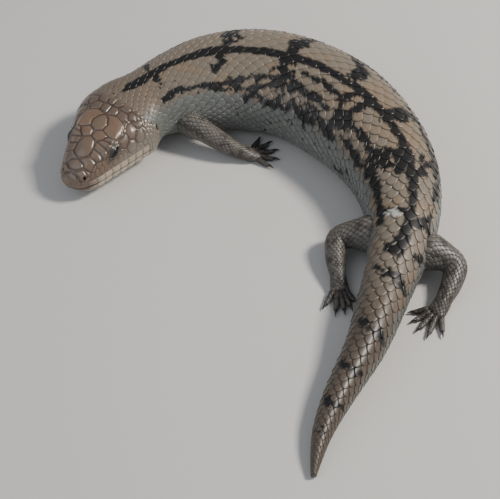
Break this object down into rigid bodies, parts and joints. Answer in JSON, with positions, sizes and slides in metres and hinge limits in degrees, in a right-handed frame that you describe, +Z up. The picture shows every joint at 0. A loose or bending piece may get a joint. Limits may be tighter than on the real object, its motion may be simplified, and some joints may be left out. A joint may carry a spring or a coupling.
{
  "type": "blue-tongued skink",
  "caption": "Life-size still model of a stout, short-legged lizard resting in a curve, with shielded head, banded scaly back and short tapering tail.",
  "frame": {"origin": "on the floor under the centre of the bounding box", "axes": "+Z up; +Y is along the longest extent, from the tail's tip towards the arched back; +X is from the head's side towards the hips"},
  "size_m": [0.1942, 0.2678, 0.0405],
  "materials": {
    "skin": "glossy scales, tan and brown with near-black bands",
    "leg": "small glossy scales, dark grey-brown",
    "claw": "dark horn",
    "eye": "wet dark eye"
  },
  "bodies": {
    "root": {"eye_left": "eye", "eye_right": "eye", "foreleg_left_claw_1": "claw", "foreleg_left_claw_2": "claw", "foreleg_left_claw_3": "claw", "foreleg_left_claw_4": "claw", "foreleg_left_claw_5": "claw", "foreleg_left_foot": "leg", "foreleg_left_lower": "leg", "foreleg_left_upper": "leg", "foreleg_right_claw_1": "claw", "foreleg_right_claw_2": "claw", "foreleg_right_claw_3": "claw", "foreleg_right_claw_4": "claw", "foreleg_right_claw_5": "claw", "foreleg_right_foot": "leg", "foreleg_right_lower": "leg", "foreleg_right_upper": "leg", "head": "skin", "hindleg_left_claw_1": "claw", "hindleg_left_claw_2": "claw", "hindleg_left_claw_3": "claw", "hindleg_left_claw_4": "claw", "hindleg_left_claw_5": "claw", "hindleg_left_foot": "leg", "hindleg_left_lower": "leg", "hindleg_left_upper": "leg", "hindleg_right_claw_1": "claw", "hindleg_right_claw_2": "claw", "hindleg_right_claw_3": "claw", "hindleg_right_claw_4": "claw", "hindleg_right_claw_5": "claw", "hindleg_right_foot": "leg", "hindleg_right_lower": "leg", "hindleg_right_upper": "leg", "neck": "skin", "pelvis": "skin", "tail_base": "skin", "tail_middle": "skin", "tail_tip": "skin", "torso_front": "skin", "torso_middle": "skin", "torso_rear": "skin"}
  },
  "joints": []
}
